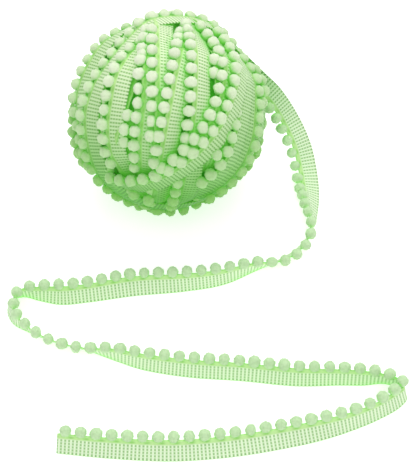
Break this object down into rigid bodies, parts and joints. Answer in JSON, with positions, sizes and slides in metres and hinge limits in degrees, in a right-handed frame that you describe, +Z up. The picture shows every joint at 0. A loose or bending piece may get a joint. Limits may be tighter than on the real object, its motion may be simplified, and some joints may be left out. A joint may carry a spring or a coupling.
{
  "type": "pom pom trim wound in a ball with a loose tail",
  "caption": "Woven ribbed trim with a row of small fluffy poms along one edge, wound into a ball, its loose tail lying in an S on its plain edge.",
  "frame": {"origin": "middle of the flat spot that the ball rests on, on the surface", "axes": "+Z up from the surface, -Y from the ball towards the tail's cut end, +X towards the side where the tail comes down"},
  "size_m": [0.2036, 0.236, 0.1054],
  "materials": {
    "wound_trim": "mint green wound trim, fluffy and ribbed",
    "woven_tape": "mint green ribbed woven tape, slightly glossy",
    "pompoms": "pale mint fluffy yarn"
  },
  "bodies": {
    "root": {"wound_ball": "wound_trim", "tail_tape": "woven_tape", "tail_pompoms": "pompoms"}
  },
  "joints": []
}
